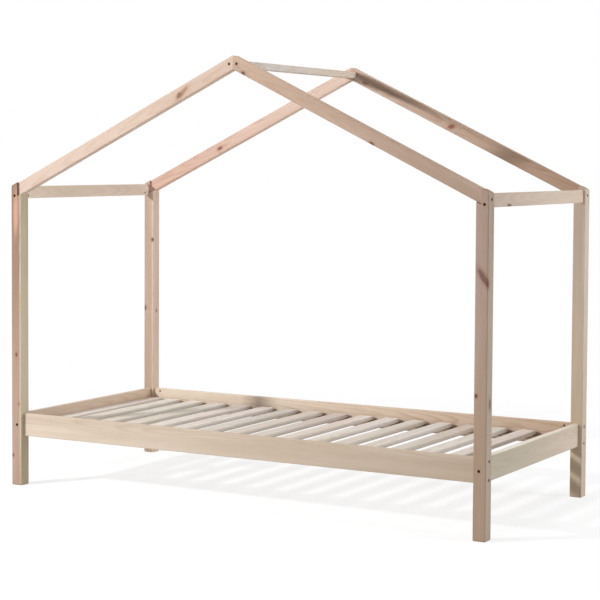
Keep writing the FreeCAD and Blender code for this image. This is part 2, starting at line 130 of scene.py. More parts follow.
def linear(tone: Sequence[float]) -> Colour:
    """Turn a screen colour into the linear colour that a shader takes.

    Args:
        tone: The sRGB colour, from 0 to 255.

    Returns:
        The linear colour with an alpha of 1.
    """
    shares = [value / 255 for value in tone]
    red, green, blue = (
        share / 12.92 if share <= 0.04045 else ((share + 0.055) / 1.055) ** 2.4
        for share in shares
    )
    return (red, green, blue, 1.0)


class Wiring:
    """Adds nodes to a tree and joins their sockets."""

    NOISE_MEAN = 0.5
    # A Mix node has sockets of the same name for each data type, so its colours go by number.
    MIX_SHARE, MIX_FIRST, MIX_SECOND, MIX_RESULT = 0, 6, 7, 2

    def __init__(self, tree: Tree) -> None:
        """Keep the tree that the nodes go into."""
        self.tree = tree

    def feed(self, socket: Socket, operand: Operand) -> None:
        """Join a socket to an input, or set the input's own value.

        Args:
            socket: The input.
            operand: The socket to join to it, or the value.
        """
        if isinstance(operand, Socket):
            self.tree.links.new(operand, socket)
        else:
            socket.default_value = operand

    def node(self, kind: str, operands: dict | Sequence = (), **settings: object) -> Node:
        """Add a node.

        Args:
            kind: The node's type, as bpy names it.
            operands: What goes into its inputs, in their order or by their names.
            settings: The node's own settings by name.

        Returns:
            The new node.
        """
        made = self.tree.nodes.new(kind)
        for name, amount in settings.items():
            setattr(made, name, amount)
        named = operands if isinstance(operands, dict) else dict(enumerate(operands))
        for name, operand in named.items():
            self.feed(made.inputs[name], operand)
        return made

    def group(self, tree: Tree, operands: dict[str, Operand]) -> Outputs:
        """Add a node group, fill its inputs and return its outputs."""
        return self.node("ShaderNodeGroup", operands, node_tree=tree).outputs

    def calc(self, sum_kind: str, *operands: Operand, clamp: bool = False) -> Socket:
        """Work one sum on numbers, kept between 0 and 1 if asked to."""
        made = self.node("ShaderNodeMath", operands, operation=sum_kind, use_clamp=clamp)
        return made.outputs[0]

    def aim(self, sum_kind: str, *operands: Operand) -> Socket:
        """Work one sum on vectors, whose answer is a number for a length or a dot product."""
        made = self.node("ShaderNodeVectorMath", operands, operation=sum_kind)
        return made.outputs["Value" if sum_kind in ("LENGTH", "DOT_PRODUCT") else "Vector"]

    def ease(self, amount: Operand, low: Operand, high: Operand) -> Socket:
        """Rise smoothly from 0 at low to 1 at high, or fall where low is the larger."""
        ends = {"Value": amount, "From Min": low, "From Max": high}
        return self.node("ShaderNodeMapRange", ends, interpolation_type="SMOOTHSTEP").outputs[0]

    def blend(
        self, share: Operand, first: Operand, second: Operand, mode: str = "MIX"
    ) -> Socket:
        """Lay the given share of a second colour over a first one."""
        colours = {self.MIX_SHARE: share, self.MIX_FIRST: first, self.MIX_SECOND: second}
        made = self.node("ShaderNodeMix", colours, data_type="RGBA", blend_type=mode)
        return made.outputs[self.MIX_RESULT]

    def tint(self, share: Operand, tone: Operand, tint: Tint) -> Socket:
        """Tint a colour by the given share."""
        return self.blend(share, tone, tint.value, "MULTIPLY")

    def noise(self, place: Operand, speckle: Speckle, seed: Operand) -> Socket:
        """Add noise whose patches have a different size along each axis.

        Args:
            place: The position that it reads, in metres.
            speckle: The sizes of its patches.
            seed: What makes it differ from the noise of another board.

        Returns:
            The noise's socket, about 0.5 on average.
        """
        operands = {
            "Vector": self.aim("MULTIPLY", place, speckle.stretch),
            "W": self.calc("ADD", seed, speckle.offset),
            "Scale": 1.0,
            "Detail": speckle.detail,
        }
        return self.node("ShaderNodeTexNoise", operands, noise_dimensions="4D").outputs["Fac"]

    def drift(self, place: Operand, speckle: Speckle, seed: Operand) -> Socket:
        """Add noise that swings evenly about 0, from the same arguments as noise."""
        return self.calc("SUBTRACT", self.noise(place, speckle, seed), self.NOISE_MEAN)

    def either(self, share: Operand, first: Node, second: Node) -> Node:
        """Mix the given share of a second shader into a first one."""
        return self.node("ShaderNodeMixShader", (share, first.outputs[0], second.outputs[0]))

    def show(self, shader: Node, kind: str = "ShaderNodeOutputMaterial") -> None:
        """Join a shader to the tree's output node, which it adds."""
        self.node(kind, {"Surface": shader.outputs[0]})

    def surface(self, looks: dict[str, Operand], height: Operand, relief: Relief) -> None:
        """Show a Principled shader with a fine relief.

        Args:
            looks: What goes into the shader's inputs, by their names.
            height: The relief's height, from 0 to 1.
            relief: How strong and how high the relief is.
        """
        rises = {"Strength": relief.strength, "Distance": relief.rise, "Height": height}
        bump = self.node("ShaderNodeBump", rises)
        self.show(self.node("ShaderNodeBsdfPrincipled", looks | {"Normal": bump.outputs[0]}))


def add_inputs(tree: Tree, sockets: dict[str, Sequence[str]]) -> None:
    """Give a node group its inputs.

    Args:
        tree: The group.
        sockets: The names of the inputs, by their kind.
    """
    for kind, names in sockets.items():
        for name in names:
            tree.interface.new_socket(name, in_out="INPUT", socket_type=kind)


def open_material(name: str) -> tuple[Material, Wiring]:
    """Start a material with an empty tree.

    Args:
        name: The material's name.

    Returns:
        The material and the wiring of its tree.
    """
    material = bpy.data.materials.new(name)
    material.use_nodes = True
    material.node_tree.nodes.clear()
    return material, Wiring(material.node_tree)


# ---------- shader effects


class Effect:
    """A shader node group that draws one thing."""

    name = "effect"
    inputs: dict[str, Sequence[str]] = {}

    def draw(self, net: Wiring, given: Outputs) -> dict[str, Socket]:
        """Draw the effect.

        Args:
            net: The group's wiring.
            given: The sockets of the group's inputs.

        Returns:
            The numbers that the group puts out, by their names.
        """
        raise NotImplementedError

    def build(self) -> Tree:
        """Build the group.

        Returns:
            The group, with an output for each number that the effect draws.
        """
        tree = bpy.data.node_groups.new(self.name, "ShaderNodeTree")
        add_inputs(tree, self.inputs)
        net = Wiring(tree)
        drawn = self.draw(net, net.node("NodeGroupInput").outputs)
        for name in drawn:
            tree.interface.new_socket(name, in_out="OUTPUT", socket_type=NUMBER)
        net.node("NodeGroupOutput", drawn)
        return tree


@dataclass(frozen=True)
class RingEffect(Effect):
    """A tree's rings, fibres and resin ducts, at a place in the board's own axes."""

    name = "growth_rings"
    inputs = {
        VECTOR: ("Place", "Pith", "Lean"), NUMBER: ("Ring Width", "Wander", "Swirl", "Seed")
    }
    slow: Speckle = Speckle((1.7, 9.0, 9.0), detail=1.0)
    slow_sway: float = 0.028
    quick: Speckle = Speckle((7.0, 60.0, 60.0))
    quick_sway: float = 0.0035
    late_rise: Pair = (0.35, 0.86)
    late_fall: Pair = (1.0, 0.9)
    patchy: Speckle = Speckle((2.2, 34.0, 34.0), 7.0, 1.0)
    patchy_range: Pair = (0.2, 0.62)
    fibre: Speckle = Speckle((16.0, 900.0, 900.0), 3.0, 3.0)
    cloud: Speckle = Speckle((1.1, 13.0, 13.0), 11.0)
    duct: Speckle = Speckle((75.0, 1050.0, 1050.0), 19.0, 0.0)
    duct_range: Pair = (0.71, 0.8)
    duct_late: Pair = (0.05, 0.5)
    late_height: float = 0.6
    fibre_height: float = 0.5

    def draw(self, net: Wiring, given: Outputs) -> dict[str, Socket]:
        """Draw the late wood, the fibres and the ducts, as every effect's draw does."""
        place, seed = given["Place"], given["Seed"]
        ring = net.calc("FRACT", self.count_rings(net, given))
        late = net.calc(
            "MULTIPLY", net.ease(ring, *self.late_rise), net.ease(ring, *self.late_fall)
        )
        patchy = net.ease(net.noise(place, self.patchy, seed), *self.patchy_range)
        late = net.calc("MULTIPLY", late, patchy)
        fibre = net.noise(place, self.fibre, seed)
        duct = net.ease(net.noise(place, self.duct, seed), *self.duct_range)
        resin = net.calc("MULTIPLY", duct, net.ease(late, *self.duct_late))
        height = net.calc("MULTIPLY", fibre, self.fibre_height)
        height = net.calc("MULTIPLY_ADD", late, self.late_height, height)
        return {
            "Late Wood": late,
            "Fibre": fibre,
            "Cloud": net.noise(place, self.cloud, seed),
            "Resin": resin,
            "Height": net.calc("SUBTRACT", height, resin),
        }

    def count_rings(self, net: Wiring, given: Outputs) -> Socket:
        """Count the rings from the pith to a place, round a trunk that leans and wanders.

        Args:
            net: The group's wiring.
            given: The sockets of the group's inputs.

        Returns:
            The number of rings.
        """
        place, seed = given["Place"], given["Seed"]
        along = net.aim("DOT_PRODUCT", place, FIBRE_AXIS)
        from_pith = net.aim("SUBTRACT", place, given["Pith"])
        from_pith = net.aim("SUBTRACT", from_pith, net.aim("MULTIPLY", given["Lean"], along))
        radius = net.aim("LENGTH", net.aim("MULTIPLY", from_pith, ACROSS_FIBRES))
        shift = net.calc("MULTIPLY", net.drift(place, self.slow, seed), self.slow_sway)
        quick = net.drift(place, self.quick, seed)
        shift = net.calc("MULTIPLY_ADD", quick, self.quick_sway, shift)
        shift = net.calc("MULTIPLY", shift, given["Wander"])
        radius = net.calc("ADD", net.calc("ADD", radius, shift), given["Swirl"])
        return net.calc("DIVIDE", radius, given["Ring Width"])


@dataclass(frozen=True)
class KnotEffect(Effect):
    """A knot and the rings that bend round it, with distances in half widths of the knot."""

    name = "knot_mark"
    inputs = {VECTOR: ("Place", "Centre", "Turn", "Reach"), NUMBER: ("Seed",)}
    ragged: Speckle = Speckle((1.6, 1.6, 1.6))
    ragged_by: float = 0.7
    core_edge: Pair = (1.2, 0.65)
    rim_edge: Pair = (2.2, 0.9)
    halo_start: float = 0.8
    halo_fall: float = -0.45
    rings: float = 3.6

    def draw(self, net: Wiring, given: Outputs) -> dict[str, Socket]:
        """Draw the masks of the knot, of its rim and of the halo that bends the rings."""
        axes = [given[name] for name in self.inputs[VECTOR]]
        turned = net.node("ShaderNodeMapping", axes, vector_type="TEXTURE").outputs[0]
        ragged = net.drift(turned, self.ragged, given["Seed"])
        away = net.calc("MULTIPLY_ADD", ragged, self.ragged_by, net.aim("LENGTH", turned))
        spread = net.calc("MAXIMUM", net.calc("SUBTRACT", away, self.halo_start), 0.0)
        spread = net.calc("MULTIPLY", spread, spread)
        return {
            "Core": net.ease(away, *self.core_edge),
            "Rim": net.ease(away, *self.rim_edge),
            "Halo": net.calc("EXPONENT", net.calc("MULTIPLY", spread, self.halo_fall)),
            "Turns": net.calc("FRACT", net.calc("MULTIPLY", away, self.rings)),
        }


@dataclass(frozen=True)
class PatchEffect(Effect):
    """A broad soft patch of a board, which fades out in shares of its reach."""

    name = "soft_patch"
    inputs = {VECTOR: ("Place", "Centre", "Reach"), NUMBER: ("Seed",)}
    ragged: Speckle = Speckle((3.0, 45.0, 45.0))
    ragged_by: float = 0.9
    edge: Pair = (1.25, 0.35)

    def draw(self, net: Wiring, given: Outputs) -> dict[str, Socket]:
        """Draw the mask of the patch."""
        away = net.aim("SUBTRACT", given["Place"], given["Centre"])
        away = net.aim("LENGTH", net.aim("DIVIDE", away, given["Reach"]))
        ragged = net.drift(given["Place"], self.ragged, given["Seed"])
        away = net.calc("MULTIPLY_ADD", ragged, self.ragged_by, away)
        return {"Mask": net.ease(away, *self.edge)}


@dataclass(frozen=True)
class SteelEffect(Effect):
    """The mottle and the fine turning marks of plated steel."""

    name = "metal_skin"
    inputs = {VECTOR: ("Place",)}
    mottle: Speckle = Speckle((420.0, 420.0, 420.0), 2.0, 3.0)
    mottle_range: Pair = (0.32, 0.7)
    scratch: Speckle = Speckle((300.0, 4200.0, 4200.0), 5.0)
    scratch_range: Pair = (0.5, 0.72)
    scratch_height: float = 0.5

    def draw(self, net: Wiring, given: Outputs) -> dict[str, Socket]:
        """Draw the mottle, the marks and their height."""
        mottle = net.noise(given["Place"], self.mottle, 0.0)
        scratch = net.noise(given["Place"], self.scratch, 0.0)
        return {
            "Mottle": net.ease(mottle, *self.mottle_range),
            "Scratch": net.ease(scratch, *self.scratch_range),
            "Height": net.calc("MULTIPLY_ADD", scratch, self.scratch_height, mottle),
        }


class Effects:
    """The node groups that more than one finish uses, each built once."""

    def __init__(self) -> None:
        """Build the groups."""
        self.rings = RingEffect().build()
        self.knot = KnotEffect().build()
        self.patch = PatchEffect().build()
        self.steel = SteelEffect().build()


# ---------- finishes


RED_BROWN = (104.0, 54.0, 42.0)
DARK_BROWN = (76.0, 46.0, 34.0)
PALE_BROWN = (168.0, 118.0, 88.0)


@dataclass(frozen=True)
class Knot:
    """A branch's mark in a board, in millimetres and degrees.

    Its place is in the bed's own frame, across is half its width, stretch is its length in
    widths and depth is how strongly it shows.
    """

    place: Triple
    across: float = 5.0
    stretch: float = 1.5
    turn: float = 0.0
    depth: float = 0.85
    core: Triple = (118.0, 72.0, 52.0)


@dataclass(frozen=True)
class KnotMark:
    """A knot in the material of its board, with the masks that its group puts out."""

    knot: Knot
    masks: Outputs


@dataclass(frozen=True)
class Patch:
    """A broad soft patch of colour in a board, in millimetres.

    Its place is in the bed's own frame, and its reach is along, across and through the board.
    Some patches are the wood's own tone, and others paint shade, shadow, highlight and light.
    """

    place: Triple
    reach: Triple
    tone: Triple
    share: float = 1.0


@dataclass(frozen=True)
class PineLook:
    """What every board of planed pine has in common."""

    cloud_range: Pair = (0.3, 0.7)
    fibre_range: Pair = (0.36, 0.66)
    end_range: Pair = (0.55, 0.9)
    late_share: float = 0.46
    stain_share: float = 0.7
    inner_core: float = 0.8
    knot_through: float = 1.3
    knot_push: float = 1.1
    patch_seed: float = 31.0
    rough: float = 0.66
    rough_late: float = -0.10
    rough_fibre: float = 0.06
    rough_end: float = 0.15
    rough_knot: float = -0.12
    specular: float = 0.35
    relief: Relief = Relief(0.35, 0.00025)


PINE = PineLook()


@dataclass
class PineBoard:
    """One board of planed pine: its tone, how the saw met the rings, and its knots.

    Its tone runs from start to end. The pith, its lean over a metre and the ring width are in
    millimetres.
    """

    node: str
    grain: Grain
    start: Triple
    end: Triple
    pith: Pair = (70.0, 8.0)
    lean: Pair = (25.0, 22.0)
    ring: float = 3.6
    contrast: float = 1.0
    wander: float = 0.8
    seed: float = 0.0
    knots: list[Knot] = field(default_factory=list)
    patches: list[Patch] = field(default_factory=list)

    def centre(self) -> Vector:
        """Return the middle of the board's box in metres."""
        low, high = (Vector(corner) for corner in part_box(self.node))
        return (low + high) / 2

    def half_size(self) -> Vector:
        """Measure the board on its own axes.

        Returns:
            Half of its length, width and thickness in metres.
        """
        back, middle = self.turn().to_matrix().inverted(), self.centre()
        vertices = bpy.data.objects[self.node].data.vertices
        corners = [back @ (vertex.co - middle) for vertex in vertices]
        return Vector([max(abs(corner[axis]) for corner in corners) for axis in range(3)])

    def turn(self) -> Euler:
        """Return the turn from the bed's axes to the board's own."""
        return Euler([math.radians(angle) for angle in self.grain.value])

    def own_place(self, place: Sequence[float]) -> Vector:
        """Turn a place on the bed in millimetres into the board's own axes in metres."""
        return self.turn().to_matrix().inverted() @ (Vector(place) * MM - self.centre())

    def faces_across(self, knot: Knot) -> bool:
        """Say whether a knot shows on the faces that the board's own Y axis meets."""
        own, size = self.own_place(knot.place), self.half_size()
        return abs(own.y) / size.y > abs(own.z) / size.z

    def make(self, effects: Effects) -> Material:
        """Build the board's material from the shared node groups."""
        return PinePainter(self, effects).paint()


class PinePainter:
    """Draws the material of one board."""

    def __init__(self, board: PineBoard, effects: Effects) -> None:
        """Start the material and read the place in the board's own axes.

        Args:
            board: The board.
            effects: The shared node groups.
        """
        self.board = board
        self.effects = effects
        self.material, self.net = open_material(f"pine_{board.node}")
        axes = {
            "Location": board.centre(),
            "Rotation": board.turn(),
            "Vector": self.net.node("ShaderNodeTexCoord").outputs["Object"],
        }
        mapping = self.net.node("ShaderNodeMapping", axes, vector_type="TEXTURE")
        self.place = mapping.outputs[0]

    def paint(self) -> Material:
        """Lay the rings, tones and knots over one another.

        Returns:
            The material.
        """
        board, net = self.board, self.net
        swirl, marks = self.draw_knots()
        drawing = {
            "Place": self.place,
            "Pith": (0.0, board.pith[0] * MM, board.pith[1] * MM),
            "Lean": (0.0, board.lean[0] * MM, board.lean[1] * MM),
            "Ring Width": board.ring * MM,
            "Wander": board.wander,
            "Swirl": swirl,
            "Seed": board.seed,
        }
        rings = net.group(self.effects.rings, drawing)
        late_share = board.contrast * PINE.late_share
        tone = self.lay_tone_and_painted_light()
        for share, tint in (
            (net.ease(rings["Cloud"], *PINE.cloud_range), Tint.CLOUD),
            (1.0, Tint.LIFT),
            (net.calc("MULTIPLY", rings["Late Wood"], late_share, clamp=True), Tint.LATE_WOOD),
            (net.ease(rings["Fibre"], *PINE.fibre_range), Tint.FIBRE),
            (rings["Resin"], Tint.RESIN),
        ):
            tone = net.tint(share, tone, tint)
        for mark in marks:
            tone = self.colour_knot(tone, mark)
        end = self.end_mask()
        rough: Operand = PINE.rough
        for mask, change in (
            (rings["Late Wood"], PINE.rough_late),
            (rings["Fibre"], PINE.rough_fibre),
            (end, PINE.rough_end),
            *((mark.masks["Core"], PINE.rough_knot) for mark in marks),
        ):
            rough = net.calc("MULTIPLY_ADD", mask, change, rough)
        looks = {
            "Base Color": net.tint(end, tone, Tint.SAWN_END),
            "Roughness": rough,
            "Specular IOR Level": PINE.specular,
        }
        net.surface(looks, rings["Height"], PINE.relief)
        return self.material

    def draw_knots(self) -> tuple[Operand, list[KnotMark]]:
        """Place a mark for each knot.

        Returns:
            How far the knots push the rings, and each knot's masks.
        """
        board, net = self.board, self.net
        swirl: Operand = 0.0
        marks = []
        for count, knot in enumerate(board.knots):
            across, turn = board.faces_across(knot), math.radians(knot.turn)
            wide = knot.across * MM
            long, deep = wide * knot.stretch, wide * PINE.knot_through
            shape = {
                "Place": self.place,
                "Centre": board.own_place(knot.place),
                "Turn": (0.0, -turn, 0.0) if across else (0.0, 0.0, turn),
                "Reach": (long, deep, wide) if across else (long, wide, deep),
                "Seed": board.seed + count,
            }
            marks.append(KnotMark(knot, net.group(self.effects.knot, shape)))
            push = net.calc("MULTIPLY", marks[-1].masks["Halo"], wide * PINE.knot_push)
            swirl = net.calc("ADD", swirl, push)
        return swirl, marks

    def colour_knot(self, tone: Socket, mark: KnotMark) -> Socket:
        """Stain the wood round a knot and colour its own rings.

        Args:
            tone: The board's colour.
            mark: The knot's masks.

        Returns:
            The board's colour with the knot in it.
        """
        net, knot, masks = self.net, mark.knot, mark.masks
        stain = net.calc("MULTIPLY", masks["Rim"], knot.depth * PINE.stain_share)
        stained = net.tint(stain, tone, Tint.KNOT_STAIN)
        inner = [value * PINE.inner_core for value in knot.core]
        ringed = net.blend(masks["Turns"], linear(knot.core), linear(inner))
        return net.blend(net.calc("MULTIPLY", masks["Core"], knot.depth), stained, ringed)

    def lay_tone_and_painted_light(self) -> Socket:
        """Lay the board's tone from end to end, and its patches of tone and painted light.

        Returns:
            The tone's socket.
        """
        board, net = self.board, self.net
        along = net.node("ShaderNodeSeparateXYZ", {"Vector": self.place}).outputs["X"]
        reach = board.half_size().x
        run = net.ease(along, -reach, reach)
        tone = net.blend(run, linear(board.start), linear(board.end))
        for patch in board.patches:
            shape = {
                "Place": self.place,
                "Centre": board.own_place(patch.place),
                "Reach": [amount * MM for amount in patch.reach],
                "Seed": board.seed + PINE.patch_seed,
            }
            mask = net.group(self.effects.patch, shape)["Mask"]
            share = net.calc("MULTIPLY", mask, patch.share)
            tone = net.blend(share, tone, linear(patch.tone))
        return tone

    def end_mask(self) -> Socket:
        """Mask the faces that the saw cut across the fibres.

        Returns:
            The mask's socket.
        """
        normal = self.net.node("ShaderNodeNewGeometry").outputs["True Normal"]
        fibre = self.board.turn().to_matrix() @ Vector(FIBRE_AXIS)
        facing = self.net.aim("DOT_PRODUCT", normal, list(fibre))
        return self.net.ease(self.net.calc("ABSOLUTE", facing), *PINE.end_range)


@dataclass(frozen=True)
class SteelFinish:
    """Plated steel, as on the bolts, nuts and screws."""

    name: str
    bright: Triple
    dull: Triple
    low_rough: float
    high_rough: float
    relief: Relief = Relief(0.2, 0.00005)

    def make(self, effects: Effects) -> Material:
        """Build the finish.

        Args:
            effects: The shared node groups.

        Returns:
            The material.
        """
        material, net = open_material(self.name)
        place = net.node("ShaderNodeTexCoord").outputs["Object"]
        skin = net.group(effects.steel, {"Place": place})
        mottle, spread = skin["Mottle"], self.high_rough - self.low_rough
        tone = net.blend(mottle, linear(self.dull), linear(self.bright))
        looks = {
            "Base Color": net.tint(skin["Scratch"], tone, Tint.WORN_STEEL),
            "Roughness": net.calc("MULTIPLY_ADD", mottle, spread, self.low_rough),
            "Metallic": 1.0,
        }
        net.surface(looks, skin["Height"], self.relief)
        return material


def put_finish(piece: Object, finish: Material) -> None:
    """Set a finish in every material slot of a piece.

    Args:
        piece: The piece.
        finish: The material that it takes.
    """
    if not piece.material_slots:
        piece.data.materials.append(finish)
    for slot in piece.material_slots:
        slot.link = "OBJECT"
        slot.material = finish


def add_object(name: str, data: bpy.types.ID) -> Object:
    """Add an object to the scene's collection and return it."""
    made = bpy.data.objects.new(name, data)
    bpy.context.collection.objects.link(made)
    return made


# ---------- the bed


def right_face_painted_light(x: float, y: float, through: float, tone: Triple) -> list[Patch]:
    """Paint on the right-facing side of the post at x and y the light that falls on it."""
    # Painted light: the cooler light from the right, painted over the whole side.
    return [Patch((x, y, 620), (1500, 100, through), tone, 0.95)]


FRAME_BOARDS = (
    PineBoard(
        "post_front_left", Grain.UPRIGHT, (180, 155, 139), (139, 110, 91),
        pith=(45.0, -38.0), seed=1.3,
        knots=[
            Knot((-1030, -505, 539), 6, 1.4),
            Knot((-1018, -505, 336), 5, core=(176, 116, 98)),
            Knot((-1047, -505, 123), 4.5, 1.8),
        ],
        patches=[Patch((-1032, -505, 1120), (110, 12, 14), (214, 168, 148), 0.55)]
        + right_face_painted_light(-1005, -480, 11, (196, 184, 160)),
    ),
    PineBoard(
        "post_front_right", Grain.UPRIGHT, (179, 155, 133), (179, 155, 143),
        pith=(-42.0, 40.0), seed=2.1, contrast=1.2,
        knots=[
            Knot((1037, -505, 935), 10.5, 3.5, 33, core=(124, 82, 74)),
            Knot((1014, -505, 516), 6, 1.3, core=RED_BROWN),
            Knot((1055, -502, 911), 6, 2.2, core=(118, 76, 68)),
            Knot((1055, -478, 486), 8, 2.6, core=(100, 76, 62)),
        ],
        patches=right_face_painted_light(1055, -480, 9, (168, 151, 136)),
    ),
    PineBoard(
        "post_back_left", Grain.UPRIGHT, (186, 161, 141), (189, 166, 147),
        pith=(48.0, 30.0), seed=3.7, contrast=1.3,
        knots=[
            Knot((-1010, 455, 976), 6, 1.5, core=DARK_BROWN),
            Knot((-1048, 455, 664), 6, 1.8),
            Knot((-1005, 480, 650), 5, 1.5),
        ],
        patches=right_face_painted_light(-1005, 480, 10, (214, 194, 178)),
    ),
    PineBoard(
        "post_back_right", Grain.UPRIGHT, (210, 193, 168), (185, 166, 151),
        pith=(-36.0, -46.0), seed=4.9,
        patches=right_face_painted_light(1055, 480, 9, (199, 183, 168)),
    ),
    PineBoard(
        "rafter_front_left", Grain.DOWN_TO_LEFT, (211, 189, 173), (203, 182, 169),
        seed=5.2, contrast=0.8,
        knots=[
            Knot((-226, -496, 1598), 8, 4.2, 20, 0.75, (160, 118, 86)),
            Knot((-242, -496, 1588), 8, 1.6, 20, 0.95, (132, 88, 60)),
        ],
    ),
    PineBoard(
        "rafter_front_right", Grain.DOWN_TO_RIGHT, (189, 162, 142), (183, 158, 140),
        pith=(-62.0, 6.0), seed=6.6, contrast=0.8,
        knots=[
            Knot((46, -496, 1667), 6.5, 1.4, core=DARK_BROWN),
            Knot((590, -496, 1401), 7, 1.6, core=RED_BROWN),
        ],
    ),
    PineBoard(
        "rafter_back_left", Grain.DOWN_TO_LEFT, (218, 194, 180), (209, 176, 160),
        pith=(58.0, -14.0), seed=7.4,
        knots=[
            Knot((-656, 464, 1391), 8, 1.8, core=(128, 62, 54)),
            Knot((-634, 464, 1404), 5, 4.0, -8, 0.4, (196, 146, 112)),
        ],
    ),
    PineBoard(
        "rafter_back_right", Grain.DOWN_TO_RIGHT, (195, 171, 154), (170, 141, 120),
        seed=8.8, contrast=1.4,
        knots=[
            Knot((468, 464, 1482), 9, 1.7, 35, core=(136, 66, 46)),
            Knot((66, 464, 1668), 6, 2.4, depth=0.5, core=RED_BROWN),
        ],
        # Painted shadow: a dark wedge by the apex that deepens the ridge bar's cast shadow.
        patches=[Patch((150, 464, 1643), (330, 26, 11), (118, 88, 70), 0.6)],
    ),
    PineBoard(
        "ridge_bar", Grain.ACROSS_BED, (205, 195, 187), (208, 190, 172), seed=9.5, contrast=0.5
    ),
    PineBoard(
        "eave_bar_left", Grain.ACROSS_BED, (217, 198, 178), (217, 197, 182),
        seed=10.1, contrast=0.5,
    ),
    PineBoard(
        "eave_bar_right", Grain.ACROSS_BED, (190, 170, 155), (211, 193, 175),
        pith=(-60.0, 4.0), seed=11.9, contrast=0.5,
        knots=[Knot((1046, -300, 1183), 5, 3.5, core=DARK_BROWN)],
    ),
    PineBoard(
        "end_board_left", Grain.ACROSS_BED, (206, 185, 167), (214, 193, 172),
        seed=12.3, contrast=0.6,
    ),
    PineBoard(
        "end_board_right", Grain.ACROSS_BED, (179, 170, 151), (207, 191, 176),
        pith=(-66.0, 12.0), seed=13.7, contrast=0.6,
        # Painted highlight: a pale band along the top of the board.
        patches=[Patch((1027, 0, 297), (700, 30, 5), (250, 244, 232), 0.85)],
    ),
    PineBoard(
        "side_rail_front", Grain.ALONG_BED, (207, 191, 174), (198, 181, 162),
        pith=(-84.0, 40.0), lean=(8.0, 12.0), ring=3.0, contrast=0.6, wander=0.6, seed=14.2,
    ),
    PineBoard(
        "side_rail_back", Grain.ALONG_BED, (226, 212, 195), (207, 183, 161),
        seed=15.8, contrast=1.2,
    ),
    PineBoard("slat_ledge_front", Grain.ALONG_BED, (160, 130, 104), (160, 130, 104), seed=16.4),
    PineBoard(
        "slat_ledge_back", Grain.ALONG_BED, (172, 148, 126), (172, 148, 126), seed=17.6,
        # Painted shade: the top of the ledge goes dark where the slats shade it.
        patches=[Patch((0, 458, 239), (1500, 60, 9), (94, 62, 46), 0.95)],
    ),
)


@dataclass
class Timber:
    """All of the bed's pine: the frame's own boards and the row of slats.

    The spreads are the random changes of a slat's tone, between slats and between its ends.
    Ranges are in millimetres and degrees, or in shares of a board's half size.
    """

    slat_count: int = 17
    slat_tone: Triple = (222.0, 213.0, 203.0)
    spread: float = 6.0
    end_spread: float = 3.0
    slat_pith: tuple[Pair, Pair] = ((-45, 45), (-90, -45))
    slat_lean: tuple[Pair, Pair] = ((-20, 20), (-25, 25))
    first_seed: float = 20.0
    seed_step: float = 1.7
    photographed_from: Triple = (0.5, -0.85, 0.1)
    least_width: float = 12.0
    long_board: float = 800.0
    knots_to_face: tuple[int, ...] = (0, 1, 1, 2)
    knot_along: Pair = (-0.85, 0.85)
    knot_aside: Pair = (-0.6, 0.6)
    knot_across: Pair = (3.5, 8.0)
    knot_stretch: Pair = (1.2, 2.2)
    knot_turn: Pair = (-25, 25)
    knot_depth: float = 0.8
    seed: int = 41

    def boards(self) -> list[PineBoard]:
        """List every board with its finish.

        Returns:
            The frame's boards, then the slats.
        """
        chance = random.Random(self.seed)
        listed = list(FRAME_BOARDS)
        for count in range(1, self.slat_count + 1):
            shade = chance.uniform(-self.spread, self.spread)
            tone = tuple(value + shade for value in self.slat_tone)
            other = tuple(
                value + chance.uniform(-self.end_spread, self.end_spread) for value in tone
            )
            pith = tuple(chance.uniform(*reach) for reach in self.slat_pith)
            lean = tuple(chance.uniform(*reach) for reach in self.slat_lean)
            seed = self.first_seed + count * self.seed_step
            name = f"slat_{count:02d}"
            listed.append(PineBoard(name, Grain.ACROSS_BED, tone, other, pith, lean, seed=seed))
        for board in listed:
            board.knots = board.knots + self.far_knots(board, chance)
        return listed

    def far_knots(self, board: PineBoard, chance: random.Random) -> list[Knot]:
        """Scatter small knots over the faces that the photograph doesn't show.

        Args:
            board: The board that takes them.
            chance: The source of their places and sizes.

        Returns:
            The knots, up to two to a face.
        """
        turn, half = board.turn().to_matrix(), board.half_size()
        is_long = half.x * 2 > self.long_board * MM
        knots = []
        for axis, sign in ((1, -1), (1, 1), (2, -1), (2, 1)):
            aside = 3 - axis
            normal = turn @ Vector([sign if index == axis else 0.0 for index in range(3)])
            is_seen = normal.dot(Vector(self.photographed_from)) > 0
            if is_seen or half[aside] < self.least_width * MM:
                continue
            for _ in range(chance.choice(self.knots_to_face) if is_long else 1):
                own = Vector((chance.uniform(*self.knot_along) * half.x, 0.0, 0.0))
                own[axis] = sign * half[axis]
                own[aside] = chance.uniform(*self.knot_aside) * half[aside]
                place = tuple((board.centre() + turn @ own) / MM)
                across = chance.uniform(*self.knot_across)
                core = chance.choice((RED_BROWN, DARK_BROWN, PALE_BROWN))
                stretch = chance.uniform(*self.knot_stretch)
                angle = chance.uniform(*self.knot_turn)
                knots.append(Knot(place, across, stretch, angle, self.knot_depth, core))
        return knots

    def dress(self, frame: dict, effects: Effects) -> None:
        """Give each board its own pine.

        Args:
            frame: The loaded frame.
            effects: The shared node groups.
        """
        for board in self.boards():
            put_finish(frame["nodes"][board.node], board.make(effects))
            LOG.info("%s: planed pine, %d knots", board.node, len(board.knots))


